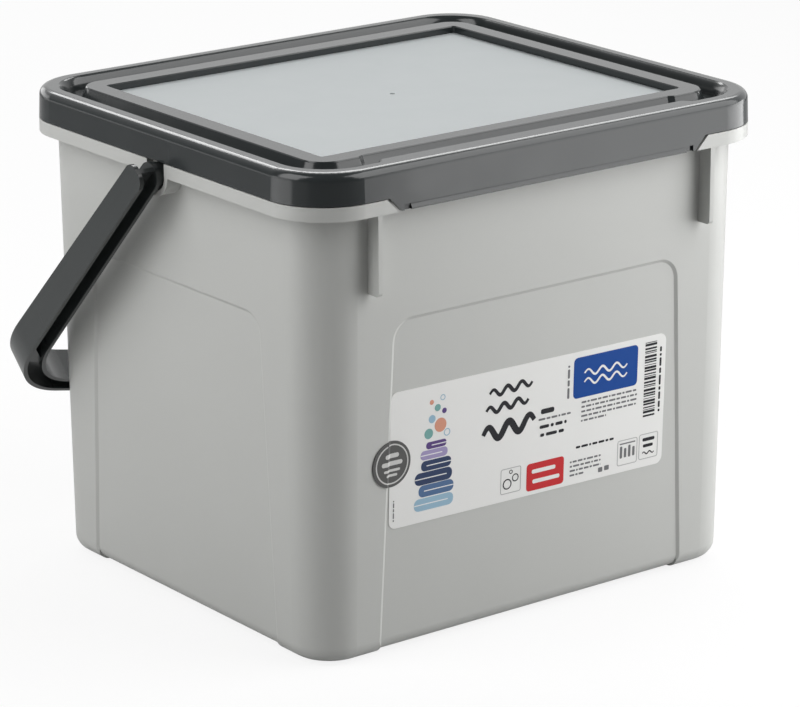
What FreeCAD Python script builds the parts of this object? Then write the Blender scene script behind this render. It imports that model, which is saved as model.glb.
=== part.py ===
import FreeCAD, Part
import math
import os

from FreeCAD import Placement, Rotation, Vector

# Storage tub for washing powder: a drafted tub with a rolled-over flange, a push-on lid with an
# inlay panel, a swinging bail that clips into two ears, a front label and a round sticker.
# Millimetres. Origin at the centre of the tub's flat base, +Z up, the label faces -Y, and the
# bail's pivots lie along X. Every outline is the lid's rounded rectangle moved inwards by an inset.

# ---- Overall plan and height ----
lid_length = 210.0            # along X, at the skirt's lower edge
lid_depth = 184.0             # along Y, at the skirt's lower edge
overall_height = 180.0        # base to the top of the lid's rim
plan_corner_r = 23.0          # plan radius of the lid's corners
seat_gap = 0.3                # running gap wherever the lid comes down on the tub

# ---- Tub ----
tub_wall = 1.8
tub_floor = 2.2
tub_inset = 8.56              # from the lid's outline in to the tub's wall, at the base
tub_draft = 0.0135            # outward lean of the wall, per unit of height
tub_corner_r = 16.0           # plan radius of the wall's corners, at the base
tub_base_round = 6.0          # round between the walls and the base
panel_step = 0.7              # depth of the recessed wall panels
panel_ramp = 1.2              # width of the sloping step around a panel
panel_corner_r = 8.0
front_panel_top = 122.4       # front and back panels
front_panel_margin_top = 32.04    # from the wall's end, at the base, to the panel's side
front_panel_margin_base = 26.24
side_panel_top = 123.0
side_panel_margin_top = 31.94
side_panel_margin_base = 25.44
panel_overrun = 3.0           # how far a panel's cutter runs below the base
panel_undercut = 1.0          # how far a panel's step runs on under the base, past the round

# ---- Flange, upstand and ribs around the tub's mouth ----
flange_inset = 0.15           # from the lid's outline
flange_wall = 1.8
flange_height = 5.0
upstand_inset = 2.8           # from the lid's outline to the upstand's outer face
upstand_wall = 1.8
rib_margin = 29.7             # rib centre from the lid's end
rib_thickness = 1.8
rib_length = 28.9             # below the flange
rib_setback = 0.5             # from the lid's outline
rib_round = 1.5

# ---- Lid ----
skirt_height = 11.3
lid_draft = 0.6               # inward lean from the grip tab's lip up to the rim's top
lid_wall = 2.0
rim_width = 6.9
rim_round = 3.2               # outer top edge
rim_corner_r = 18.5           # plan radius of the rim's inner edge
channel_depth = 5.0           # rim top down to the deck
deck_thickness = 1.8
edge_break = 0.4              # small bevel on the moulded top edges
plateau_inset_x = 16.0        # from the lid's outline to the raised frame
plateau_inset_y = 17.3
plateau_corner_r = 9.0
plateau_drop = 0.2            # raised frame below the rim's top
frame_width_x = 7.8           # raised frame around the inlay panel
frame_width_y = 8.35
recess_corner_r = 1.0
rim_jog = 3.1                 # the rim is wider behind the grip tab
plateau_jog = 1.3
jog_overlap = 1.7             # how far the wider rim runs past the tab's lower corner
jog_run = 2.5
jog_round = 1.0

# ---- Grip tab on the lid's front ----
tab_margin = 38.7             # lid's end to the tab's lower corner, ends at 45 degrees
tab_drop = 5.1                # below the skirt
tab_gap = 1.5                 # to the flange's cut ends, along X
tab_groove_height = 2.2       # from the tab's lower edge to the top of the groove
tab_groove_depth = 0.7
tab_groove_step = 0.5         # upright part of the groove, above its slope
tab_lip_height = 0.5
tab_pocket_margin = 0.9       # tab's lower corner to the pocket at each end of the lip
tab_pocket_width = 3.2
tab_pocket_depth = 1.0

# ---- Inlay panel ----
panel_thickness = 2.1
panel_fit = 0.1               # gap to the recess wall
gate_mark_r = 1.0
gate_mark_depth = 0.3

# ---- Pivots ----
pivot_drop = 5.1              # flange top down to the pivot axis
ear_r = 7.3
notch_r = 5.3                 # open slot in the flange in front of the ear
pin_r = 3.0
pin_clearance = 0.06          # radial, in the ear's bore
bore_depth = 3.3
pin_tip_gap = 0.2

# ---- Bail ----
rest_angle = 45.5             # arms below the horizontal, pointing back
bail_side_gap = 1.2           # lid's outline to the bail's inner face
bail_thickness = 8.8
strap_thickness = 1.6
web_thickness = 1.6
grip_clearance = 14.5         # lid's outline to the bar, along Y at rest
bail_corner_r = 41.0
bail_bow_r = 250.0            # shallow bow of the bar
strap_width_pivot = 10.3
strap_width_bar = 12.6
inner_width_pivot = 10.4
inner_width_bar = 13.5
width_run = 110.0             # length over which both straps widen
strap_end = 4.8               # strap past the pivot axis
strap_end_round = 4.0
boss_r = 4.8
boss_gap = 0.3                # boss end to the ear's face
gusset_start = -3.0           # degrees round the corner, on the outer strap
gusset_stop = 13.5
gusset_tip = 22.7             # on the inner strap

# ---- Label and sticker ----
label_width = 126.8
label_height = 50.2
label_corner_r = 3.0
label_film = 0.2
label_x = -2.6                # centre, along the front wall
label_height_above_base = 70.35
label_tilt = -0.85            # degrees, stuck on slightly askew
sticker_r = 8.5
sticker_offset = 0.5          # centre, from the label's left end
sticker_height_above_base = 70.6
sticker_film = 0.2

# ---- Levels and reaches that several pieces share ----
skirt_z = overall_height - skirt_height
shelf_z = skirt_z - seat_gap
flange_z = shelf_z - flange_height
deck_z = overall_height - channel_depth
upstand_z = overall_height - lid_wall - seat_gap
pivot_z = shelf_z - pivot_drop
tab_z = skirt_z - tab_drop
half_wall_length = lid_length / 2 - tub_inset     # at the base
half_wall_depth = lid_depth / 2 - tub_inset
tab_half = lid_length / 2 - tab_margin
tab_pocket_end = tab_half - tab_pocket_margin
clear = 5.0                   # how far cutters run past what they cut
draft_degrees = math.degrees(math.atan(tub_draft))


# ---- Outlines and simple solids ----

def rounded_polygon(corners):
    """Closed wire in the XY plane through (x, y, radius) corners, each rounded by its radius."""
    bends = []
    for i, (x, y, radius) in enumerate(corners):
        here = Vector(x, y, 0)
        before = Vector(corners[i - 1][0], corners[i - 1][1], 0) - here
        after_x, after_y, _ = corners[(i + 1) % len(corners)]
        after = Vector(after_x, after_y, 0) - here
        before.normalize()
        after.normalize()
        half_angle = before.getAngle(after) / 2
        setback = radius / math.tan(half_angle)
        towards_centre = (before + after).normalize()
        middle = here + towards_centre * (radius / math.sin(half_angle) - radius)
        bends.append((here + before * setback, middle, here + after * setback, radius))
    edges = []
    for i, (start, middle, end, radius) in enumerate(bends):
        if radius > 0:
            edges.append(Part.Arc(start, middle, end).toShape())
        next_start = bends[(i + 1) % len(bends)][0]
        edges.append(Part.LineSegment(end, next_start).toShape())
    return Part.Wire(edges)


def prism(wire, low, high):
    """Solid over an XY wire, from one height to another."""
    face = Part.Face(wire)
    face.translate(Vector(0, 0, low))
    return face.extrude(Vector(0, 0, high - low))


def loft(lower_wire, low, upper_wire, high):
    """Straight-sided solid from one XY wire up to another."""
    lower_wire.translate(Vector(0, 0, low))
    upper_wire.translate(Vector(0, 0, high))
    return Part.makeLoft([lower_wire, upper_wire], True, True)


def plan(inset_x, inset_y=None, radius=None, jog=0.0, jog_offset=0.0):
    """The lid's outline moved inwards; jog sets the middle of the front edge back."""
    if inset_y is None:
        inset_y = inset_x
    if radius is None:
        radius = plan_corner_r - inset_x
    half_x = lid_length / 2 - inset_x
    half_y = lid_depth / 2 - inset_y
    corners = [(-half_x, -half_y, radius)]
    if jog > 0:
        inner = tab_half + jog_overlap + jog_offset
        corners += [
            (-inner - jog_run, -half_y, jog_round),
            (-inner, -half_y + jog, jog_round),
            (inner, -half_y + jog, jog_round),
            (inner + jog_run, -half_y, jog_round),
        ]
    corners += [(half_x, -half_y, radius), (half_x, half_y, radius), (-half_x, half_y, radius)]
    return rounded_polygon(corners)


def rounded(solid, radius, edge_test):
    """The solid with a round on every edge that the test picks."""
    edges = [edge for edge in solid.Edges if edge_test(edge.BoundBox)]
    return solid.makeFillet(radius, edges)


def mirrored_pair(solid):
    """A solid and its mirror image across the middle plane X = 0."""
    return [solid, solid.mirror(Vector(0, 0, 0), Vector(1, 0, 0))]


# ---- Tub ----

def drafted_body(inset, low, high):
    """Block that follows the tub's drafted walls at a distance, with its base edge rounded."""
    def outline(height):
        lean = tub_draft * height
        return plan(tub_inset + inset - lean, radius=tub_corner_r - inset + lean)

    lower = outline(low)
    upper = outline(high)
    body = loft(lower, low, upper, high)
    round_r = tub_base_round - inset
    return rounded(body, round_r, lambda box: box.ZMax < low + 0.01)


def wall_plane(side, inset):
    """Placement on one wall: X along it, Y up it, Z outwards. Sides count from the front."""
    if side % 2 == 0:
        reach = half_wall_depth
    else:
        reach = half_wall_length
    upright = Placement(Vector(0, 0, 0), Rotation(Vector(1, 0, 0), 90 + draft_degrees))
    upright = upright.multiply(Placement(Vector(0, 0, -inset), Rotation()))
    out = Placement(Vector(0, -reach, 0), Rotation())
    turn = Placement(Vector(0, 0, 0), Rotation(Vector(0, 0, 1), 90 * side))
    return turn.multiply(out.multiply(upright))


def panel_outline(side, grow):
    """Outline of a wall's recessed panel, open at the base, moved outwards by grow."""
    if side % 2 == 0:
        top = front_panel_top
        half_top = half_wall_length - front_panel_margin_top
        half_base = half_wall_length - front_panel_margin_base
    else:
        top = side_panel_top
        half_top = half_wall_depth - side_panel_margin_top
        half_base = half_wall_depth - side_panel_margin_base
    corner = panel_corner_r + grow
    return rounded_polygon([
        (-half_base - grow, -panel_overrun, 0),
        (half_base + grow, -panel_overrun, 0),
        (half_top + grow, top + grow, corner),
        (-half_top - grow, top + grow, corner),
    ])


def panel_cutter(side, inset, grow):
    """What a recessed panel takes from the wall: a sloping step, then straight in."""
    narrow = grow - panel_ramp / 2
    wide = narrow + 2 * panel_ramp
    step = loft(panel_outline(side, narrow), -panel_step, panel_outline(side, wide), panel_step)
    straight = prism(panel_outline(side, narrow), inset - tub_base_round - panel_undercut, 0)
    place = wall_plane(side, inset)
    step.Placement = place
    straight.Placement = place
    return [step, straight]


def stepped_body(inset, low, high, grow):
    """The drafted block with its four panels set back, and their base edge lifted as much."""
    body = drafted_body(inset, low, high)
    cutters = []
    for side in range(4):
        cutters += panel_cutter(side, inset, grow)
    return body.cut(cutters).fuse(drafted_body(inset + panel_step, low + panel_step, high))


def make_flange():
    """Shelf with a turned-down lip, cut away in front for the lid's grip tab."""
    flange = prism(plan(flange_inset), flange_z, shelf_z)
    hollow = prism(plan(flange_inset + flange_wall), flange_z, shelf_z - flange_wall)
    flange = flange.cut(hollow)
    low_half = tab_half + tab_gap - (tab_z - flange_z)
    high_half = low_half + flange_height + clear
    opening = rounded_polygon([
        (-low_half, flange_z, 0),
        (low_half, flange_z, 0),
        (high_half, shelf_z + clear, 0),
        (-high_half, shelf_z + clear, 0),
    ])
    front = lid_depth / 2 - upstand_inset
    cutter = Part.Face(opening).extrude(Vector(0, 0, clear))
    cutter.Placement = Placement(Vector(0, -front, 0), Rotation(Vector(1, 0, 0), 90))
    return flange.cut(cutter)


def make_upstand():
    """Low wall on the shelf that the lid's hollow rim drops over."""
    return prism(plan(upstand_inset), shelf_z - flange_wall, upstand_z)


def make_ribs():
    """Four upright fins under the flange, two in front and two behind."""
    ribs = []
    bottom = flange_z - rib_length
    reach = lid_depth / 2 - rib_setback
    root = half_wall_depth + tub_draft * bottom - tub_wall / 2
    for side in (-1, 1):
        block = Part.makeBox(
            rib_thickness, reach - root, rib_length + flange_height - flange_wall / 2,
            Vector(-rib_thickness / 2, root, bottom),
        )
        block = rounded(block, rib_round, lambda box: box.YMin > reach - 0.01 and box.ZMax < bottom + 0.01)
        if side < 0:
            block = block.mirror(Vector(0, 0, 0), Vector(0, 1, 0))
        block.translate(Vector(lid_length / 2 - rib_margin, 0, 0))
        ribs += mirrored_pair(block)
    return ribs


def along_x(radius, start, stop):
    """Cylinder about the bail's pivot axis, between two distances from the middle."""
    return Part.makeCylinder(radius, stop - start, Vector(start, 0, pivot_z), Vector(1, 0, 0))


def make_tub():
    body = stepped_body(0, 0, shelf_z, 0)
    wall_x = half_wall_length + tub_draft * pivot_z
    ear_face = lid_length / 2 - upstand_inset
    flange_x = lid_length / 2 - flange_inset
    ear = along_x(ear_r, wall_x - tub_wall / 2, flange_x)
    above_shelf = Part.makeBox(
        lid_length, 2 * ear_r, 2 * ear_r, Vector(0, -ear_r, shelf_z)
    )
    ear = ear.cut(above_shelf)
    tub = body.fuse([make_flange(), make_upstand()] + make_ribs() + mirrored_pair(ear))

    cavity = stepped_body(tub_wall, tub_floor, shelf_z + clear, tub_wall / 2)
    mouth = prism(plan(upstand_inset + upstand_wall), shelf_z, upstand_z + clear)
    slot = along_x(notch_r, ear_face, flange_x + clear)
    slot_top = Part.makeBox(
        flange_x + clear - ear_face, 2 * notch_r, shelf_z - pivot_z, Vector(ear_face, -notch_r, pivot_z)
    )
    bore = along_x(pin_r + pin_clearance, ear_face - bore_depth, ear_face + clear)
    cutters = [cavity.common(prism(plan(tub_inset - clear), 0, shelf_z + 1)), mouth]
    cutters += mirrored_pair(slot) + mirrored_pair(slot_top) + mirrored_pair(bore)
    return tub.cut(cutters).removeSplitter()


# ---- Lid ----

def rim_inner(offset, jog):
    """Outline of the rim's inner edge, moved outwards by offset."""
    return plan(rim_width - offset, radius=rim_corner_r + offset, jog=jog)


def plateau_outline(offset):
    """Outline of the raised frame, moved inwards by offset."""
    return plan(
        plateau_inset_x + offset, plateau_inset_y + offset, plateau_corner_r - offset,
        jog=plateau_jog, jog_offset=1.0,
    )


def recess_outline(offset):
    """Outline of the inlay panel's recess, moved inwards by offset."""
    return plan(
        plateau_inset_x + frame_width_x + offset, plateau_inset_y + frame_width_y + offset,
        recess_corner_r,
    )


def tab_outline():
    """Block with the grip tab's outline, which keeps that part of the lid below the skirt."""
    outline = Part.Face(rounded_polygon([
        (-tab_half, tab_z, 0),
        (tab_half, tab_z, 0),
        (tab_half + tab_drop, skirt_z, 0),
        (tab_half + tab_drop, skirt_z + lid_wall, 0),
        (-tab_half - tab_drop, skirt_z + lid_wall, 0),
        (-tab_half - tab_drop, skirt_z, 0),
    ])).extrude(Vector(0, 0, lid_wall + clear))
    outline.Placement = Placement(Vector(0, -lid_depth / 2 + lid_wall, 0), Rotation(Vector(1, 0, 0), 90))
    return outline


def tab_cutters():
    """Groove above the grip tab's lip, and the pockets at its two ends."""
    front = lid_depth / 2
    groove = Part.Face(Part.makePolygon([
        Vector(-tab_pocket_end, -front - clear, tab_z + tab_lip_height),
        Vector(-tab_pocket_end, -front, tab_z + tab_lip_height),
        Vector(-tab_pocket_end, -front + tab_groove_depth, tab_z + tab_groove_height - tab_groove_step),
        Vector(-tab_pocket_end, -front + tab_groove_depth, tab_z + tab_groove_height),
        Vector(-tab_pocket_end, -front - clear, tab_z + tab_groove_height),
        Vector(-tab_pocket_end, -front - clear, tab_z + tab_lip_height),
    ])).extrude(Vector(2 * tab_pocket_end, 0, 0))
    pocket = Part.makeBox(
        tab_pocket_width, clear + tab_pocket_depth, tab_groove_height + clear,
        Vector(tab_pocket_end - tab_pocket_width, -front - clear, tab_z - clear),
    )
    return [groove] + mirrored_pair(pocket)


def make_lid():
    block = loft(plan(0), tab_z, plan(lid_draft), overall_height)
    block = rounded(block, rim_round, lambda box: box.ZMin > overall_height - 0.01)
    below_skirt = prism(plan(-clear), tab_z - clear, skirt_z).cut(tab_outline())
    plateau_z = overall_height - plateau_drop
    under_z = deck_z - deck_thickness

    channel = prism(rim_inner(0, rim_jog), deck_z, overall_height + clear)
    channel = channel.cut(prism(plateau_outline(0), deck_z, plateau_z))
    recess = prism(recess_outline(0), deck_z, overall_height + clear)
    below_deck = prism(plan(lid_wall), tab_z - clear, under_z)
    rim_hollow = prism(plan(lid_wall), under_z, overall_height - lid_wall)
    rim_hollow = rim_hollow.cut(prism(rim_inner(lid_wall, rim_jog), under_z, overall_height))
    frame_hollow = prism(plateau_outline(deck_thickness), under_z, plateau_z - deck_thickness)
    frame_hollow = frame_hollow.cut(prism(recess_outline(-deck_thickness), under_z, overall_height))
    lid = block.cut([below_skirt, channel, recess, below_deck, rim_hollow, frame_hollow] + tab_cutters())

    def is_top_edge(box):
        level = box.ZMax - box.ZMin < 0.01
        at_top = abs(box.ZMax - overall_height) < 0.01 or abs(box.ZMax - plateau_z) < 0.01
        inside = box.XMax < lid_length / 2 - rim_width + 0.01 and box.XMin > -lid_length / 2 + rim_width - 0.01
        return level and at_top and inside

    lid = lid.makeChamfer(edge_break, [edge for edge in lid.Edges if is_top_edge(edge.BoundBox)])
    return lid.removeSplitter()


def make_lid_panel():
    """Smooth inlay that fills the floor of the lid's recess."""
    panel = prism(recess_outline(panel_fit), deck_z, deck_z + panel_thickness)
    top = deck_z + panel_thickness
    gate_mark = Part.makeCylinder(gate_mark_r, clear, Vector(0, 0, top - gate_mark_depth))
    return panel.cut(gate_mark)


# ---- Bail, built flat in its own plane: X across, Y from the pivots to the bar, Z its width ----

bail_half_span = lid_length / 2 + bail_side_gap + bail_thickness
bail_reach = (lid_depth / 2 + grip_clearance) / math.cos(math.radians(rest_angle)) + bail_thickness
corner_turn = math.acos((bail_half_span - bail_corner_r) / (bail_bow_r - bail_corner_r))
arm_length = bail_reach - bail_bow_r + (bail_bow_r - bail_corner_r) * math.sin(corner_turn)


def round_the_corner(inset, angle):
    """Point on the bail's right-hand corner arc at an inset, by its angle from the arm."""
    radius = bail_corner_r - inset
    return Vector(
        bail_half_span - bail_corner_r + radius * math.cos(angle), arm_length + radius * math.sin(angle), 0
    )


def mirror_x(point):
    return Vector(-point.x, point.y, 0)


def bail_block(inset, half_width):
    """Everything inside the bail's outline moved inwards by inset."""
    foot = -strap_end - clear
    side = bail_half_span - inset
    crown = bail_reach - inset
    turned = round_the_corner(inset, corner_turn)
    midway = round_the_corner(inset, corner_turn / 2)
    straight = round_the_corner(inset, 0)
    wire = Part.Wire([
        Part.LineSegment(Vector(side, foot, 0), straight).toShape(),
        Part.Arc(straight, midway, turned).toShape(),
        Part.Arc(turned, Vector(0, crown, 0), mirror_x(turned)).toShape(),
        Part.Arc(mirror_x(turned), mirror_x(midway), mirror_x(straight)).toShape(),
        Part.LineSegment(mirror_x(straight), Vector(-side, foot, 0)).toShape(),
        Part.LineSegment(Vector(-side, foot, 0), Vector(side, foot, 0)).toShape(),
    ])
    return prism(wire, -half_width, half_width)


def bail_band(outer_inset, inner_inset, half_width):
    """Strip of the bail between two insets."""
    return bail_block(outer_inset, half_width).cut(bail_block(inner_inset, half_width + clear))


def edge_profile(end, end_round, pivot_half, bar_half):
    """Side view of a strap: rounded past the pivot, then widening towards the bar."""
    beyond = bail_reach + clear
    wire = rounded_polygon([
        (-end, -pivot_half, end_round),
        (0, -pivot_half, 0),
        (width_run, -bar_half, 0),
        (beyond, -bar_half, 0),
        (beyond, bar_half, 0),
        (width_run, bar_half, 0),
        (0, pivot_half, 0),
        (-end, pivot_half, end_round),
    ])
    side_view = prism(wire, -bail_half_span - clear, bail_half_span + clear)
    turn = Rotation(Vector(0, 1, 0), Vector(0, 0, 1), Vector(1, 0, 0), "ZXY")
    side_view.Placement = Placement(Vector(0, 0, 0), turn)
    return side_view


def make_gusset():
    """Wedge that closes the channel at the bail's corner."""
    on_strap = strap_thickness / 2
    on_inner = bail_thickness - strap_thickness / 2
    wire = Part.makePolygon([
        round_the_corner(on_strap, math.radians(gusset_start)),
        round_the_corner(on_strap, math.radians(gusset_stop)),
        round_the_corner(on_inner, math.radians(gusset_tip + 1)),
        round_the_corner(on_inner, math.radians(gusset_tip - 1)),
        round_the_corner(on_strap, math.radians(gusset_start)),
    ])
    return prism(wire, -strap_width_pivot / 2, strap_width_pivot / 2)


def make_bail():
    widest = inner_width_bar / 2 + clear
    outer = bail_band(0, strap_thickness, widest).common(
        edge_profile(strap_end, strap_end_round, strap_width_pivot / 2, strap_width_bar / 2)
    )
    inner = bail_band(bail_thickness - strap_thickness, bail_thickness, widest).common(
        edge_profile(
            inner_width_pivot / 2, inner_width_pivot / 2 - 0.01, inner_width_pivot / 2, inner_width_bar / 2
        )
    )
    web = bail_band(strap_thickness / 2, bail_thickness - strap_thickness / 2, web_thickness / 2)
    past_end = Part.makeBox(4 * bail_half_span, bail_half_span, 4 * widest)
    past_end.translate(Vector(-2 * bail_half_span, -strap_end - bail_half_span, -2 * widest))
    web = web.cut(past_end)

    ear_face = lid_length / 2 - upstand_inset
    inner_face = bail_half_span - bail_thickness
    boss_end = ear_face + boss_gap
    pin_end = ear_face - bore_depth + pin_tip_gap
    sideways = Vector(1, 0, 0)
    boss = Part.makeCylinder(boss_r, inner_face + strap_thickness / 2 - boss_end, Vector(boss_end, 0, 0), sideways)
    pin = Part.makeCylinder(pin_r, boss_end + 1 - pin_end, Vector(pin_end, 0, 0), sideways)
    pieces = [inner, web] + mirrored_pair(boss) + mirrored_pair(pin) + mirrored_pair(make_gusset())
    bail = outer.fuse(pieces).removeSplitter()
    bail.rotate(Vector(0, 0, 0), Vector(1, 0, 0), -rest_angle)
    bail.translate(Vector(0, 0, pivot_z))
    return bail


# ---- Label and sticker on the front panel ----

def make_label():
    """Film on the recessed front panel."""
    half_w, half_h = label_width / 2, label_height / 2
    film = prism(rounded_polygon([
        (-half_w, -half_h, label_corner_r),
        (half_w, -half_h, label_corner_r),
        (half_w, half_h, label_corner_r),
        (-half_w, half_h, label_corner_r),
    ]), 0, label_film)
    centre = Placement(
        Vector(label_x, label_height_above_base, 0), Rotation(Vector(0, 0, 1), label_tilt)
    )
    film.Placement = wall_plane(0, panel_step).multiply(centre)
    return film


def make_sticker(tub, label):
    """Round film that follows the wall, the panel's step and the label's end."""
    reach = lid_depth / 2
    centre_x = label_x - label_width / 2 + sticker_offset
    disc = Part.makeCylinder(
        sticker_r, reach, Vector(centre_x, -reach, sticker_height_above_base), Vector(0, 1, 0)
    )
    skin = stepped_body(0, 0, shelf_z, 0)
    skin.translate(Vector(0, -label_film - sticker_film, 0))
    return disc.common(skin).cut([stepped_body(0, 0, shelf_z, 0), label])


def save(shape, node):
    solids = shape.Solids
    volume = sum(solid.Volume for solid in solids)
    print("%-14s solids %d  valid %s  volume %.1f mm3" % (node, len(solids), shape.isValid(), volume))
    shape.exportStep("parts/" + node + ".step")


def main():
    os.makedirs("parts", exist_ok=True)
    tub = make_tub()
    label = make_label().cut(tub)
    save(tub, "tub")
    save(make_lid(), "lid")
    save(make_lid_panel(), "lid_panel")
    save(make_bail(), "handle")
    save(label, "front_label")
    save(make_sticker(tub, label), "round_sticker")


main()
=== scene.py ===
import math

import bmesh
import bpy
from mathutils import Matrix, Vector
from mathutils.bvhtree import BVHTree
from mathutils.geometry import intersect_line_line


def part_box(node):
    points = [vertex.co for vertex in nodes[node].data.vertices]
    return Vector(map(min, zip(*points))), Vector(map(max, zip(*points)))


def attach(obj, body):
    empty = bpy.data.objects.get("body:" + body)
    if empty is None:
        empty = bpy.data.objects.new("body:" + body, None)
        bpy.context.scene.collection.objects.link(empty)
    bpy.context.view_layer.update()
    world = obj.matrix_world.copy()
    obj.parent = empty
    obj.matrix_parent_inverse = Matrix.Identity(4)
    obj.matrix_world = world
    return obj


# Looks of the storage tub: moulded plastics, the print on its label and sticker, and the shaped
# sides of the lid's channel. Then camera, floor, world and lamps.
# Metres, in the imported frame: origin at the base's centre, +Z up, the label faces -Y.

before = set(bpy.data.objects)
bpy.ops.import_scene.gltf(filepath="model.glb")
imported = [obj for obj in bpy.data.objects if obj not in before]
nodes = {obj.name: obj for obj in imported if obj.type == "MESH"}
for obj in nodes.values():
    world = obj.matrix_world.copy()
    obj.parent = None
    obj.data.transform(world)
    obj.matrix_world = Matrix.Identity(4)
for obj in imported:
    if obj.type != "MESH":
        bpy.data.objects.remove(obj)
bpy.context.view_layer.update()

MM = 0.001


def new_object(name, data):
    """A new object in the scene."""
    thing = bpy.data.objects.new(name, data)
    bpy.context.scene.collection.objects.link(thing)
    return thing


# ---- Colours ----

def linear(red, green, blue):
    """Scene-linear colour from 8-bit display values."""
    def channel(value):
        value /= 255
        return value / 12.92 if value <= 0.04045 else ((value + 0.055) / 1.055) ** 2.4
    return (channel(red), channel(green), channel(blue), 1.0)


WHITE = linear(255, 255, 255)
TUB_GREY = linear(192, 193, 190)
LID_GREY = linear(43, 47, 48)
PANEL_GREY = linear(166, 171, 172)
HANDLE_GREY = linear(47, 51, 51)
LABEL_WHITE = linear(232, 232, 230)
STICKER_GREY = linear(88, 88, 87)
STICKER_MARK = linear(205, 205, 203)
INKS = {
    "black": linear(38, 38, 42),
    "grey": linear(112, 112, 114),
    "pale_grey": linear(176, 176, 176),
    "blue": linear(8, 68, 146),
    "red": linear(196, 48, 52),
    "navy": linear(52, 66, 98),
    "denim": linear(84, 112, 150),
    "pale_blue": linear(152, 184, 204),
    "teal": linear(120, 168, 164),
    "violet": linear(92, 70, 128),
    "lilac": linear(160, 150, 190),
    "salmon": linear(214, 152, 128),
}


# ---- Materials ----
# Noise scales are in cells per metre.

NOISE_SPAN = (0.3, 0.7)        # nearly all of a noise lies between these
NOISE_ROUGHNESS = 0.55
FLOW_SCALE, FLOW_DETAIL = 14.0, 4.0    # faint marks of the plastic's flow
GLOSS_SCALE, GLOSS_DETAIL = 55.0, 3.0    # duller and shinier places
GLOSS_SPREAD = 0.03
GRAIN_DETAIL = 2.0
MIX_FIRST, MIX_SECOND, MIX_RESULT = 6, 7, 2    # colour sockets of a Mix node

# each CAD node's material: name, colour, roughness, noise scale of its grain, the grain's depth in
# millimetres, how far the colour goes up and down as a share of it, specular level
FINISHES = {
    "tub": ("tub_plastic", TUB_GREY, 0.34, 2600.0, 0.002, 0.012, 0.45),
    "lid": ("lid_plastic", LID_GREY, 0.17, 2200.0, 0.0005, 0.04, 0.5),
    "lid_panel": ("panel_plastic", PANEL_GREY, 0.42, 45.0, 0.02, 0.006, 0.15),
    "handle": ("handle_plastic", HANDLE_GREY, 0.22, 2200.0, 0.0005, 0.04, 0.5),
    "front_label": ("label_film", LABEL_WHITE, 0.33, 70.0, 0.01, 0.003, 0.4),
    "round_sticker": ("sticker_film", STICKER_GREY, 0.35, 70.0, 0.01, 0.01, 0.3),
}
INK_FINISH = (0.32, 70.0, 0.01, 0.02, 0.2)    # the same numbers, from roughness on


def new_material(name):
    """Node material with its tree and its principled shader."""
    material = bpy.data.materials.new(name)
    material.use_nodes = True
    shader = material.node_tree.nodes["Principled BSDF"]
    return material, material.node_tree, shader


def add_noise(tree, scale, detail):
    """Noise over the object's own coordinates."""
    coordinates = tree.nodes.new("ShaderNodeTexCoord")
    noise = tree.nodes.new("ShaderNodeTexNoise")
    noise.inputs["Scale"].default_value = scale
    noise.inputs["Detail"].default_value = detail
    noise.inputs["Roughness"].default_value = NOISE_ROUGHNESS
    tree.links.new(coordinates.outputs["Object"], noise.inputs["Vector"])
    return noise.outputs["Fac"]


def mapped(tree, value, source, target):
    """A value mapped from one range onto another and held inside it."""
    node = tree.nodes.new("ShaderNodeMapRange")
    node.inputs["From Min"].default_value, node.inputs["From Max"].default_value = source
    node.inputs["To Min"].default_value, node.inputs["To Max"].default_value = target
    tree.links.new(value, node.inputs["Value"])
    return node.outputs["Result"]


def mixed_colour(tree, factor, first, second):
    """The first colour at a factor of 0, the second at 1."""
    mix = tree.nodes.new("ShaderNodeMix")
    mix.data_type = "RGBA"
    mix.inputs[MIX_FIRST].default_value = first
    mix.inputs[MIX_SECOND].default_value = second
    tree.links.new(factor, mix.inputs["Factor"])
    return mix.outputs[MIX_RESULT]


def scaled(colour, factor):
    return tuple(channel * factor for channel in colour[:3]) + (1.0,)


def moulded_plastic(name, colour, roughness, grain, depth, mottle, specular):
    """Injection-moulded plastic: faint flow mottling, uneven gloss and fine spark-eroded grain."""
    material, tree, shader = new_material(name)
    flow = mapped(tree, add_noise(tree, FLOW_SCALE, FLOW_DETAIL), NOISE_SPAN, (0.0, 1.0))
    base = mixed_colour(tree, flow, scaled(colour, 1 - mottle), scaled(colour, 1 + mottle))
    tree.links.new(base, shader.inputs["Base Color"])
    gloss_range = (roughness - GLOSS_SPREAD, roughness + GLOSS_SPREAD)
    gloss = mapped(tree, add_noise(tree, GLOSS_SCALE, GLOSS_DETAIL), NOISE_SPAN, gloss_range)
    tree.links.new(gloss, shader.inputs["Roughness"])
    shader.inputs["Specular IOR Level"].default_value = specular
    bump = tree.nodes.new("ShaderNodeBump")
    bump.inputs["Strength"].default_value = 1.0
    bump.inputs["Distance"].default_value = depth * MM
    tree.links.new(add_noise(tree, grain, GRAIN_DETAIL), bump.inputs["Height"])
    tree.links.new(bump.outputs["Normal"], shader.inputs["Normal"])
    return material


def dress_nodes():
    """Gives each CAD node its material."""
    for node, finish in FINISHES.items():
        materials = nodes[node].data.materials
        materials.clear()
        materials.append(moulded_plastic(*finish))


dress_nodes()


# ---- Flat shapes for the print ----
# Each shape is a list of points and the faces between them. Places are in millimetres from the
# middle of the film, first to the right and then up the wall.

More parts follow.
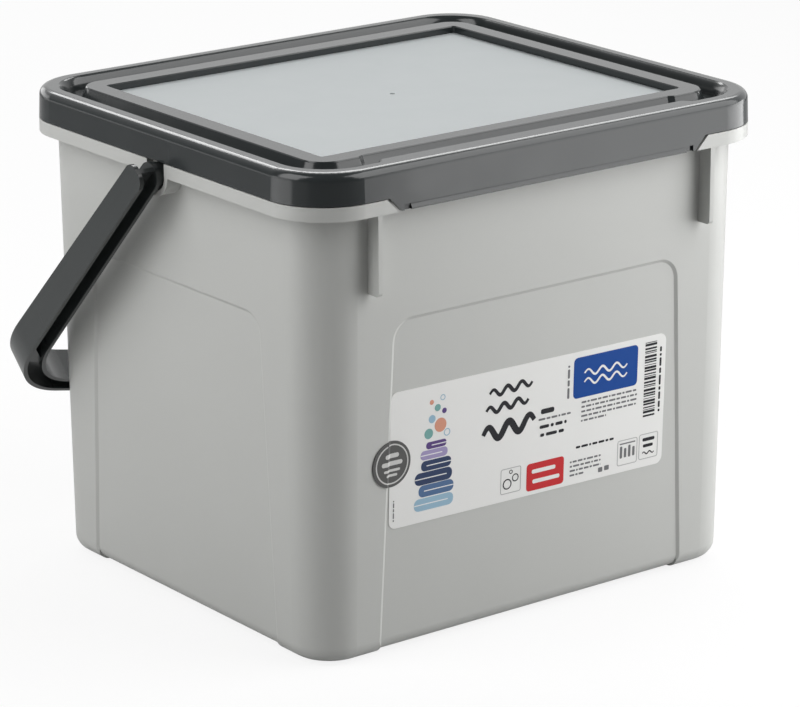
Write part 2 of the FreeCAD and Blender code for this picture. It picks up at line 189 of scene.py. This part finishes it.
CORNER_STEPS = 6
DISC_STEPS = 40
STRIP_STEPS = 48
STRIP_END = 0.01               # half the height that a strip keeps at its very ends
WAVE_STEPS = 24                # for each wave
STROKE_END = 0.35              # a brush line's width at no pressure, as a share of its full width
STROKE_FROM, STROKE_RUN = 0.08, 0.84    # the stretch of a half sine that its pressure follows
SIDE_OVER_ROUND = 2.01         # at least, so that a box's side keeps a short straight stretch
WORD_LENGTHS = (2.6, 1.2, 3.4, 1.9, 2.9, 0.9, 2.2)    # of the bars that stand for small print
WORD_HEIGHT = 0.8              # height that those lengths go with
WORDS_ON = 3                   # how much further on in those lengths each next row starts
WORD_GAP = 0.7                 # between two bars, as a share of their height
WORD_ROUND = 0.4               # corner radius, as a share of the height
LAST_ROW = 0.45                # length of the last of several rows, as a share of the others


def arc_points(centre, radius, start, end, steps):
    """Points on an arc; the angles are in quarter turns."""
    turns = [(start + (end - start) * step / steps) * math.pi / 2 for step in range(steps + 1)]
    return [(centre[0] + radius * math.cos(t), centre[1] + radius * math.sin(t)) for t in turns]


def circle_points(centre, radius):
    return arc_points(centre, radius, 0, 4, DISC_STEPS)[:-1]


def rounded_box_points(centre, size, radius):
    half_width, half_height = size[0] / 2 - radius, size[1] / 2 - radius
    corners = ((1, 1), (-1, 1), (-1, -1), (1, -1))
    points = []
    for quarter, (side, level) in enumerate(corners):
        middle = (centre[0] + side * half_width, centre[1] + level * half_height)
        points += arc_points(middle, radius, quarter, quarter + 1, CORNER_STEPS)
    return points


def filled(points):
    """One face inside an outline."""
    return points, [tuple(range(len(points)))]


def ribbon(left, right, closed=False):
    """A strip of faces between two rows of points."""
    count = len(left)
    last = count if closed else count - 1
    faces = [(i, (i + 1) % count, count + (i + 1) % count, count + i) for i in range(last)]
    return left + right, faces


def box(centre, size, radius=0.3):
    largest = min(size[0] / SIDE_OVER_ROUND, size[1] / SIDE_OVER_ROUND)
    return filled(rounded_box_points(centre, size, min(radius, largest)))


def box_line(centre, size, radius, width):
    """Outline of a rounded box, drawn with a line of the given width."""
    inner = (size[0] - 2 * width, size[1] - 2 * width)
    outside = rounded_box_points(centre, size, radius)
    inside = rounded_box_points(centre, inner, radius - width)
    return ribbon(outside, inside, closed=True)


def disc(centre, radius):
    return filled(circle_points(centre, radius))


def ring(centre, radius, width):
    return ribbon(circle_points(centre, radius), circle_points(centre, radius - width), closed=True)


def strip(centre, length, height):
    """A bar with round ends, cut into short lengths."""
    radius, upper, lower = height / 2, [], []
    for step in range(STRIP_STEPS + 1):
        along = length * (step / STRIP_STEPS - 0.5)
        into_end = max(abs(along) - (length / 2 - radius), 0.0)
        reach = math.sqrt(max(radius ** 2 - into_end ** 2, 0.0)) + STRIP_END
        upper.append((centre[0] + along, centre[1] + reach))
        lower.append((centre[0] + along, centre[1] - reach))
    return ribbon(upper, lower)


def brush_stroke(points, width):
    """A brush line along the points, narrower at both ends."""
    left, right = [], []
    last = len(points) - 1
    for index, point in enumerate(points):
        before, after = points[max(index - 1, 0)], points[min(index + 1, last)]
        along = Vector((after[0] - before[0], after[1] - before[1])).normalized()
        swell = math.sin(math.pi * (STROKE_FROM + STROKE_RUN * index / last)) ** 0.5
        reach = width / 2 * (STROKE_END + (1 - STROKE_END) * swell)
        left.append((point[0] - along.y * reach, point[1] + along.x * reach))
        right.append((point[0] + along.y * reach, point[1] - along.x * reach))
    return ribbon(left, right)


def wave(start, end, height, waves, width):
    """A brushed wave from start to end."""
    steps = int(WAVE_STEPS * waves)
    points = []
    for step in range(steps + 1):
        t = step / steps
        swing = math.sin(2 * math.pi * waves * t) * height / 2
        points.append((
            start[0] + (end[0] - start[0]) * t,
            start[1] + (end[1] - start[1]) * t + swing,
        ))
    return brush_stroke(points, width)


def small_print(start, length, height, rows=1, pitch=0.0, first_word=0):
    """Rows of short bars in place of small print."""
    shapes = []
    for row in range(rows):
        place, word = 0.0, first_word + WORDS_ON * row
        row_length = length if row < rows - 1 or rows == 1 else length * LAST_ROW
        while place < row_length:
            full_length = WORD_LENGTHS[word % len(WORD_LENGTHS)] * height / WORD_HEIGHT
            word_length = min(full_length, row_length - place)
            centre = (start[0] + place + word_length / 2, start[1] - row * pitch)
            shapes.append(box(centre, (word_length, height), height * WORD_ROUND))
            place += word_length + height * WORD_GAP
            word += 1
    return shapes


def upright_print(start, length, height, first_word):
    """A row of short bars that runs up the wall from its start."""
    turned = []
    for points, faces in small_print(start, length, height, first_word=first_word):
        points = [(start[0] - (v - start[1]), start[1] + (u - start[0])) for u, v in points]
        turned.append((points, faces))
    return turned


# ---- Ink on the films ----
# The ink lies on a film as thin solids. Lengths are in millimetres.

INK_DEPTH = 0.04
INK_LIFT = 0.01                # above the film's face
LABEL_TURN = math.radians(-0.85)    # how far the films were stuck on out of level
OUTWARD = Vector((0, -1, 0))
FACES_OUT = 0.9                # least part of a front face's normal along OUTWARD
SEARCH_HEIGHT = 5.0            # where the search for the film's face starts, outside it


def film_frame(node, turn):
    """Matrix of a film's outer face: +X to the right, +Y up the wall, +Z out of it."""
    mesh = nodes[node].data
    front = [face for face in mesh.polygons if face.normal.dot(OUTWARD) > FACES_OUT]
    area = sum(face.area for face in front)
    normal = sum((face.normal * face.area for face in front), Vector()).normalized()
    centre = sum((face.center * face.area for face in front), Vector()) / area
    right = Vector((1, 0, 0))
    right = Matrix.Rotation(turn, 3, normal) @ (right - normal * right.dot(normal)).normalized()
    up = normal.cross(right)
    film_axes = Matrix((right, up, normal)).transposed().to_4x4()
    return Matrix.Translation(centre) @ film_axes


def film_surface(node):
    """Ray tree of a film's own faces."""
    mesh = nodes[node].data
    points = [vertex.co for vertex in mesh.vertices]
    return BVHTree.FromPolygons(points, [face.vertices for face in mesh.polygons])


def closed_mesh(name, points, faces, same_within=None):
    """Mesh of closed solids, with normals outwards and points joined that lie within a distance."""
    mesh = bpy.data.meshes.new(name)
    mesh.from_pydata(points, [], faces)
    solid = bmesh.new()
    solid.from_mesh(mesh)
    if same_within:
        bmesh.ops.remove_doubles(solid, verts=solid.verts, dist=same_within)
    bmesh.ops.recalc_face_normals(solid, faces=solid.faces)
    solid.to_mesh(mesh)
    solid.free()
    return mesh


def print_ink(name, node, shapes, colour, layer=0):
    """One thin solid for each shape, all in one object; a higher layer lies on the lower ones."""
    film, surface = film_frame(node, LABEL_TURN), film_surface(node)
    outward = film.to_3x3() @ Vector((0, 0, 1))
    vertices, faces = [], []
    low = INK_LIFT + layer * INK_DEPTH
    for points, flat_faces in shapes:
        first, count = len(vertices), len(points)
        foot = []
        for u, v in points:
            above = film @ Vector((u * MM, v * MM, SEARCH_HEIGHT * MM))
            foot.append(surface.ray_cast(above, -outward)[0])
        for height in (low, low + INK_DEPTH):
            vertices += [point + outward * height * MM for point in foot]
        edges = [edge for face in flat_faces for edge in zip(face, face[1:] + face[:1])]
        rims = [edge for edge in edges if (edge[1], edge[0]) not in edges]
        for face in flat_faces:
            faces.append([first + i for i in reversed(face)])
            faces.append([first + count + i for i in face])
        faces += [(first + a, first + b, first + count + b, first + count + a) for a, b in rims]
    mesh = closed_mesh(name, vertices, faces)
    mesh.materials.append(moulded_plastic(name, colour, *INK_FINISH))
    piece = new_object(name, mesh)
    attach(piece, "tub")


# ---- Motifs of the label and the sticker ----
# Plain ones: cloths, bubbles, bars and waves. Lengths are in millimetres.

CLOTH_OVER_ROUND = 2.2         # a cloth's height over its corner radius
FOLD_INSET = 2.4               # how much shorter a fold's bright line is than its cloth
FOLD_LINE = 0.35
CODE_MIDDLE, CODE_TOP, CODE_FOOT = 56.2, 22.8, -5.6
CODE_LENGTH = 5.6              # of a bar
CODE_BAR, CODE_BAR_STEP = 0.26, 0.22    # thinnest bar, and what wider ones add to it
CODE_GAP, CODE_GAP_STEP = 0.28, 0.2


def add_patches(inks):
    """A blue and a red patch with plain white marks."""
    inks["blue"].append(box((34.7, 15.2), (30.4, 15.4), 1.7))
    inks["red"].append(box((7.4, -18.4), (17.4, 10.4), 1.3))
    inks["white"] += [
        wave((24.6, 16.6), (44.8, 16.6), 2.4, 3.0, 0.85),
        wave((24.6, 13.2), (44.8, 13.2), 2.4, 3.0, 0.85),
        box((6.6, -16.4), (11.0, 1.5), 0.6),
        box((7.8, -20.2), (12.6, 1.5), 0.6),
    ]


def add_cloth_pile(inks):
    """A pile of cloths, each folded in two, and bubbles that rise from it."""
    cloths = (
        ("pale_blue", (-43.6, -18.6), (17.5, 4.6), 1),
        ("denim", (-42.6, -13.7), (15.6, 4.4), -1),
        ("navy", (-43.9, -9.0), (16.6, 4.6), 1),
        ("navy", (-42.8, -4.5), (13.4, 3.8), -1),
        ("lilac", (-43.8, -0.5), (12.0, 3.4), 1),
        ("violet", (-42.9, 2.8), (9.0, 2.6), -1),
    )
    for ink, centre, size, fold_side in cloths:
        inks[ink].append(box(centre, size, size[1] / CLOTH_OVER_ROUND))
        fold = (centre[0] - FOLD_INSET / 2 * fold_side, centre[1])
        inks["white"].append(box(fold, (size[0] - FOLD_INSET, FOLD_LINE), 0.15))
    bubbles = (
        ("teal", (-46.4, 7.2), 1.9), ("salmon", (-41.2, 9.6), 2.6),
        ("pale_blue", (-45.0, 12.4), 1.5), ("violet", (-39.6, 14.6), 1.0),
        ("teal", (-42.6, 16.2), 1.3), ("salmon", (-45.3, 18.6), 0.9),
    )
    for ink, centre, radius in bubbles:
        inks[ink].append(disc(centre, radius))
    inks["pale_blue"] += [ring((-38.2, 6.4), 1.4, 0.35), ring((-40.4, 19.6), 1.1, 0.3)]


def add_brushed_waves(inks):
    inks["black"] += [
        wave((-19.2, 16.6), (0.2, 18.0), 2.6, 3.0, 1.5),
        wave((-20.6, 10.4), (-1.4, 11.8), 2.6, 3.0, 1.6),
        wave((-21.8, 1.6), (1.6, 3.4), 5.0, 2.5, 2.7),
    ]


def add_small_print(inks):
    """Bars in place of the label's many short lines."""
    inks["black"] += small_print((4.6, 5.6), 6.6, 1.9)
    inks["grey"] += small_print((3.6, 2.7), 15.0, 0.75, first_word=2)
    inks["black"] += small_print((4.2, -0.2), 12.6, 1.2, first_word=4)
    inks["black"] += small_print((4.6, -3.3), 11.0, 1.2, first_word=1)
    inks["grey"] += small_print((23.6, 5.6), 26.5, 0.7, rows=5, pitch=1.75)
    inks["black"] += small_print((21.6, -11.2), 18.0, 0.85, first_word=3)
    inks["grey"] += small_print((19.0, -16.4), 14.6, 0.7, rows=4, pitch=1.7, first_word=5)
    inks["grey"] += [box((33.6, -22.0), (2.0, 1.8)), box((36.6, -21.8), (2.2, 1.8))]
    inks["grey"] += upright_print((17.2, 8.2), 12.5, 0.95, first_word=2)
    inks["grey"] += upright_print((-61.4, -22.4), 8.0, 0.5, first_word=1)


def add_code_bars(inks):
    """Bars of uneven width in place of a code, with a row of short bars beside them."""
    place, bar = CODE_TOP, 0
    while place > CODE_FOOT:
        width = CODE_BAR + CODE_BAR_STEP * (bar * 7 % 4)
        inks["black"].append(box((CODE_MIDDLE, place - width / 2), (CODE_LENGTH, width), 0.05))
        place -= width + CODE_GAP + CODE_GAP_STEP * (bar * 5 % 3)
        bar += 1
    inks["black"] += upright_print((61.0, -4.8), 25.0, 0.9, first_word=5)


def add_pictograms(inks):
    """Three outlined fields: bubbles, a row of pegs, and a wave under two bars."""
    fields = (((-8.6, -17.6), (9.4, 9.6)), ((46.4, -17.6), (9.6, 9.8)), ((56.6, -17.2), (9.2, 9.8)))
    for centre, size in fields:
        inks["pale_grey"].append(box_line(centre, size, 0.9, 0.3))
    inks["black"] += [
        ring((-10.2, -18.8), 2.0, 0.45),
        ring((-6.5, -16.9), 1.5, 0.4),
        ring((-8.6, -14.4), 0.8, 0.3),
    ]
    for peg in range(4):
        lower = peg % 2
        inks["grey"].append(box((43.4 + 2.0 * peg, -17.4 - 0.4 * lower), (1.1, 4.6 - lower), 0.4))
    inks["grey"].append(box((46.4, -14.2), (7.6, 0.5)))
    inks["black"] += [box((56.6, -14.6), (5.8, 1.3), 0.5), box((56.4, -17.0), (4.8, 1.2), 0.5)]
    inks["black"].append(wave((53.8, -19.8), (59.4, -19.8), 0.9, 2.0, 0.5))


def print_label():
    inks = {ink: [] for ink in (*INKS, "white")}
    add_patches(inks)
    add_cloth_pile(inks)
    add_brushed_waves(inks)
    add_small_print(inks)
    add_code_bars(inks)
    add_pictograms(inks)
    for ink, colour in INKS.items():
        print_ink("print_" + ink, "front_label", inks[ink], colour)
    print_ink("print_white", "front_label", inks["white"], LABEL_WHITE, layer=1)


def print_sticker():
    """A thin ring and short rows, in strips fine enough to follow the step under the sticker."""
    rows = ((3.1, 6.4, 1.6), (0.3, 9.6, 1.6), (-2.3, 7.6, 0.9), (-4.1, 5.2, 0.9))
    marks = [ring((0, 0), 7.4, 0.5)]
    marks += [strip((0, level), length, height) for level, length, height in rows]
    print_ink("print_sticker", "round_sticker", marks, STICKER_MARK)


print_label()
print_sticker()


# ---- Sides of the lid's channel ----
# The raised frame's outer wall leans out towards the channel's floor, and the rim's inner wall
# comes down to it in a wide round. Lengths are in millimetres.

FRAME_DROP = 0.2               # the frame's flat top below the rim's top
EDGE_BEVEL = 0.4               # bevel between a flat top and its wall
CHANNEL_DEPTH = 5.0            # rim's top down to the channel's floor
SLOPE_REACH = 1.75             # from the frame's wall out to the slope's foot
ROUND_START = 0.05             # from the rim's flat top's edge back to the round's hidden start
ROUND_REACH = 2.2              # from the same edge in to the round's foot
ROUND_LEAN = (math.radians(15), math.radians(85))    # of the arc that is stretched to the round
ROUND_STEPS = 10
SIDE_SUNK = 0.03               # how far the hidden sides lie inside the lid
SAME_POINT = 0.001             # points nearer than this are one
SAME_LEVEL = 0.05              # a face nearer than this to a level lies on it
LEVEL_NORMAL = 0.999           # least z of a level face's normal
SHARPEST_CORNER = 0.5          # least cosine that a corner's reach is divided by
SMOOTH_BELOW = math.radians(30)


def flat_top_outlines(mesh, level):
    """Outlines of the lid's flat faces at a level, as closed rows of points, the widest first."""
    uses = {}
    for face in mesh.polygons:
        if face.normal.z > LEVEL_NORMAL and abs(face.center.z - level) < SAME_LEVEL * MM:
            for edge in face.edge_keys:
                uses[edge] = uses.get(edge, 0) + 1
    beside = {}
    for (first, second), count in uses.items():
        if count == 1:
            beside.setdefault(first, []).append(second)
            beside.setdefault(second, []).append(first)
    outlines, waiting = [], set(beside)
    while waiting:
        loop, onward = [], [min(waiting)]
        while onward:
            loop.append(onward[0])
            waiting.discard(onward[0])
            onward = [vertex for vertex in beside[onward[0]] if vertex in waiting]
        row = [mesh.vertices[vertex].co.to_2d() for vertex in loop]
        turn = sum(a.cross(b) for a, b in zip(row, row[1:] + row[:1]))
        outlines.append(row if turn > 0 else row[::-1])
    return sorted(outlines, key=lambda row: max(point.x for point in row), reverse=True)


def moved_out(outline, distance, level):
    """The outline moved outwards, or inwards by a negative distance, and set at a level."""
    points, count = [], len(outline)
    for index, point in enumerate(outline):
        before = (point - outline[index - 1]).normalized()
        after = (outline[(index + 1) % count] - point).normalized()
        along = (before + after).normalized()
        reach = distance / max(along.dot(after), SHARPEST_CORNER)
        points.append(Vector((point.x + along.y * reach, point.y - along.x * reach, level)))
    return plain_corners(outline, points)


def plain_corners(outline, points):
    """A corner in place of each short round that moving has turned back on itself."""
    count = len(outline)
    turned = []
    for index in range(count):
        onward = (index + 1) % count
        side = (points[onward] - points[index]).to_2d()
        turned.append(side.dot(outline[onward] - outline[index]) <= 0)
    first = turned.index(False)
    index = first
    while index < first + count:
        last = index
        while turned[last % count]:
            last += 1
        if last > index:
            run = [k % count for k in range(index - 1, last + 2)]
            ends = points[run[0]], points[run[1]], points[run[-2]], points[run[-1]]
            corner = intersect_line_line(*ends)[0]
            for k in run[1:-1]:
                points[k] = corner.copy()
        index = last + 1
    return points


def add_channel_side(name, rows):
    """A closed ring through rows of points, of which the last row is hidden in the lid."""
    count = len(rows[0])
    faces = []
    for row in range(len(rows)):
        this, other = row * count, (row + 1) % len(rows) * count
        for i in range(count):
            j = (i + 1) % count
            faces.append((this + i, other + i, other + j, this + j))
    mesh = closed_mesh(name, [point for row in rows for point in row], faces, SAME_POINT * MM)
    mesh.polygons.foreach_set("use_smooth", [True] * len(mesh.polygons))
    mesh.set_sharp_from_angle(angle=SMOOTH_BELOW)
    mesh.materials.append(nodes["lid"].data.materials[0])
    side = new_object(name, mesh)
    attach(side, "lid")


def add_frame_slope(lid_top, foot):
    """The frame's outer wall, from its bevel out to the channel's floor."""
    level = lid_top - FRAME_DROP * MM
    outline = flat_top_outlines(nodes["lid"].data, level)[0]
    add_channel_side("channel_slope", (
        moved_out(outline, (EDGE_BEVEL - SIDE_SUNK) * MM, level - (EDGE_BEVEL + SIDE_SUNK) * MM),
        moved_out(outline, (EDGE_BEVEL + SLOPE_REACH) * MM, foot),
        moved_out(outline, (EDGE_BEVEL - 2 * SIDE_SUNK) * MM, foot),
    ))


def add_rim_round(lid_top, foot):
    """The rim's inner wall: an arc, stretched in width and depth, down to the channel's floor."""
    outline = flat_top_outlines(nodes["lid"].data, lid_top)[-1]
    top = lid_top - SIDE_SUNK * MM
    start, stop = ROUND_LEAN
    rows = []
    for step in range(ROUND_STEPS + 1):
        lean = start + (stop - start) * step / ROUND_STEPS
        across = (math.sin(lean) - math.sin(start)) / (math.sin(stop) - math.sin(start))
        down = (math.cos(start) - math.cos(lean)) / (math.cos(start) - math.cos(stop))
        inward = ((ROUND_START + ROUND_REACH) * across - ROUND_START) * MM
        rows.append(moved_out(outline, -inward, top + (foot - top) * down))
    rows.append(moved_out(outline, -(EDGE_BEVEL - 2 * SIDE_SUNK) * MM, foot))
    add_channel_side("rim_round", rows)


def add_channel_sides():
    lid_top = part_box("lid")[1][2]
    foot = lid_top - (CHANNEL_DEPTH + SIDE_SUNK) * MM
    add_frame_slope(lid_top, foot)
    add_rim_round(lid_top, foot)


add_channel_sides()


# ---- Camera at the photographed view ----

CAMERA_AZIMUTH = math.radians(-37.566)
CAMERA_ELEVATION = math.radians(17.449)
CAMERA_ROLL = math.radians(-0.157)
CAMERA_DISTANCE = 1.364776
CAMERA_TARGET = Vector((-0.022397, -0.033248, 0.090))
CAMERA_LENS = 169.295
SENSOR_WIDTH = 36.0


def direction(azimuth, elevation):
    """Unit vector out from the object; azimuth 0 is its front, 90 degrees its right side."""
    return Vector((
        math.sin(azimuth) * math.cos(elevation),
        -math.cos(azimuth) * math.cos(elevation),
        math.sin(elevation),
    ))


def add_camera():
    data = bpy.data.cameras.new("camera")
    data.lens = CAMERA_LENS
    data.sensor_width = SENSOR_WIDTH
    camera = new_object("camera", data)
    back = direction(CAMERA_AZIMUTH, CAMERA_ELEVATION)
    aim = (-back).to_track_quat("-Z", "Y").to_matrix().to_4x4()
    roll = Matrix.Rotation(CAMERA_ROLL, 4, "Z")
    camera.matrix_world = Matrix.Translation(CAMERA_TARGET + back * CAMERA_DISTANCE) @ aim @ roll
    bpy.context.scene.camera = camera


add_camera()


# ---- Floor and world ----

FLOOR_HALF = 3.0
FLOOR_DROP = 0.0005            # below the base, so that the two faces never share a plane
FLOOR_SEEN = linear(245, 245, 245)
FLOOR_LIT = linear(184, 184, 184)    # how much of the lamps' light the table throws back up
FLOOR_GLOW = 0.85              # share of plain white where it is seen; the rest takes the shadow
FLOOR_MIRRORED = 0.1           # how white the floor is in a reflection
FLOOR_ROUGHNESS = 0.9
FLOOR_SPECULAR = 0.1
ROOM_MIRRORED = 0.15           # the dark room in front of the object, in a reflection
BACKDROP_TOWARDS = (0.61, 0.79, 0.0)    # the white backdrop stands behind the object
BACKDROP_EDGE = (0.25, 0.6)    # where it starts and is full white, as cosines from its middle
WORLD_LIT = 0.0                # all the light comes from the lamps


def combined(tree, operation, first, second):
    """Two values made into one by a maths node."""
    node = tree.nodes.new("ShaderNodeMath")
    node.operation = operation
    tree.links.new(first, node.inputs[0])
    tree.links.new(second, node.inputs[1])
    return node.outputs["Value"]


def multiplied(tree, value, factor):
    """A value times a number."""
    node = tree.nodes.new("ShaderNodeMath")
    node.operation = "MULTIPLY"
    node.inputs[1].default_value = factor
    tree.links.new(value, node.inputs[0])
    return node.outputs["Value"]


def mixed_shader(tree, factor, first, second):
    mix = tree.nodes.new("ShaderNodeMixShader")
    tree.links.new(factor, mix.inputs["Fac"])
    tree.links.new(first, mix.inputs[1])
    tree.links.new(second, mix.inputs[2])
    return mix.outputs["Shader"]


def background_share(tree, path, mirrored):
    """1 where floor or world is only seen, `mirrored` in a reflection, and 0 where it lights."""
    share = mirrored
    for ray in ("Is Camera Ray", "Is Transmission Ray"):
        share = combined(tree, "MAXIMUM", share, path.outputs[ray])
    return share


def backdrop_side(tree):
    """1 towards the backdrop and the level of the dark room away from it."""
    coordinates = tree.nodes.new("ShaderNodeTexCoord")
    towards = tree.nodes.new("ShaderNodeVectorMath")
    towards.operation = "DOT_PRODUCT"
    towards.inputs[1].default_value = BACKDROP_TOWARDS
    tree.links.new(coordinates.outputs["Generated"], towards.inputs[0])
    return mapped(tree, towards.outputs["Value"], BACKDROP_EDGE, (ROOM_MIRRORED, 1.0))


def add_floor():
    """White table: seen nearly white with the object's soft shadow on it, greyer as a reflector."""
    signs = ((-1, -1), (1, -1), (1, 1), (-1, 1))
    corners = [(x * FLOOR_HALF, y * FLOOR_HALF, 0) for x, y in signs]
    mesh = bpy.data.meshes.new("floor")
    mesh.from_pydata(corners, [], [(0, 1, 2, 3)])
    floor = new_object("floor", mesh)
    floor.location.z = -FLOOR_DROP
    material, tree, shader = new_material("floor")
    path = tree.nodes.new("ShaderNodeLightPath")
    mirrored = multiplied(tree, path.outputs["Is Glossy Ray"], FLOOR_MIRRORED)
    share = background_share(tree, path, mirrored)
    tree.links.new(mixed_colour(tree, share, FLOOR_LIT, FLOOR_SEEN), shader.inputs["Base Color"])
    shader.inputs["Roughness"].default_value = FLOOR_ROUGHNESS
    shader.inputs["Specular IOR Level"].default_value = FLOOR_SPECULAR
    glow = tree.nodes.new("ShaderNodeEmission")
    glow.inputs["Strength"].default_value = 1.0
    white_part = multiplied(tree, share, FLOOR_GLOW)
    surface = mixed_shader(tree, white_part, shader.outputs["BSDF"], glow.outputs["Emission"])
    tree.links.new(surface, tree.nodes["Material Output"].inputs["Surface"])
    mesh.materials.append(material)


def add_world():
    """Lights nothing; where seen or mirrored, a white backdrop with a dark room opposite."""
    world = bpy.data.worlds.new("studio")
    world.use_nodes = True
    bpy.context.scene.world = world
    tree = world.node_tree
    lighting = tree.nodes["Background"]
    seen = tree.nodes.new("ShaderNodeBackground")
    for background, strength in ((lighting, WORLD_LIT), (seen, 1.0)):
        background.inputs["Color"].default_value = WHITE
        background.inputs["Strength"].default_value = strength
    path = tree.nodes.new("ShaderNodeLightPath")
    mirrored = combined(tree, "MULTIPLY", path.outputs["Is Glossy Ray"], backdrop_side(tree))
    share = background_share(tree, path, mirrored)
    surface = mixed_shader(tree, share, lighting.outputs["Background"], seen.outputs["Background"])
    tree.links.new(surface, tree.nodes["World Output"].inputs["Surface"])


# ---- Lamps ----

MIDDLE = Vector((0, 0, 0.09))  # of the object
WALL_DISTANCE = 0.65

# soft boxes around the object: from and to in degrees right of the front, bottom, top, watts
SOFT_WALLS = {
    "right_front_low": (26, 50, 0.002, 0.25, 0.66),
    "right_low": (50, 84, 0.002, 0.25, 1.35),
    "right_front_high": (14, 74, 0.25, 0.98, 5.9),
    "left_low_back": (-126, -88, 0.002, 0.25, 0.58),
    "left_low_front": (-88, -62, 0.002, 0.25, 0.04),
    "left_high": (-120, -76, 0.25, 1.00, 4.2),
    "left_back_band": (-155, -125, 0.10, 0.16, 0.07),
}

# soft boxes further off: azimuth and elevation in degrees, distance, width, height, watts
SOFT_BOXES = {
    "back_right_high": (128, 43, 1.6, 0.95, 0.55, 9.0),
    "back_high": (166, 37, 1.6, 0.8, 0.28, 4.6),
    "back_low": (188, 12, 1.6, 1.2, 0.5, 3.0),
}


def add_lamp(name, place, target, size, watts):
    """Rectangular soft box that faces its target."""
    data = bpy.data.lights.new(name, "AREA")
    data.shape = "RECTANGLE"
    data.size, data.size_y = size
    data.energy = watts
    lamp = new_object(name, data)
    lamp.location = place
    lamp.rotation_euler = (target - place).to_track_quat("-Z", "Y").to_euler()
    lamp.visible_camera = False


def add_soft_wall(name, start, end, bottom, top, watts):
    """Upright, unless it stands wholly above the object's middle, which it then faces."""
    level = (bottom + top) / 2
    place = direction(math.radians((start + end) / 2), 0.0) * WALL_DISTANCE + Vector((0, 0, level))
    target = Vector((0, 0, level if bottom < MIDDLE.z else MIDDLE.z))
    width = 2 * WALL_DISTANCE * math.tan(math.radians((end - start) / 2))
    add_lamp(name, place, target, (width, top - bottom), watts)


def add_soft_box(name, azimuth, elevation, distance, width, height, watts):
    place = MIDDLE + direction(math.radians(azimuth), math.radians(elevation)) * distance
    add_lamp(name, place, MIDDLE, (width, height), watts)


add_world()
add_floor()
for lamp_name, setting in SOFT_WALLS.items():
    add_soft_wall(lamp_name, *setting)
for lamp_name, setting in SOFT_BOXES.items():
    add_soft_box(lamp_name, *setting)

bpy.context.scene.view_settings.view_transform = "Standard"
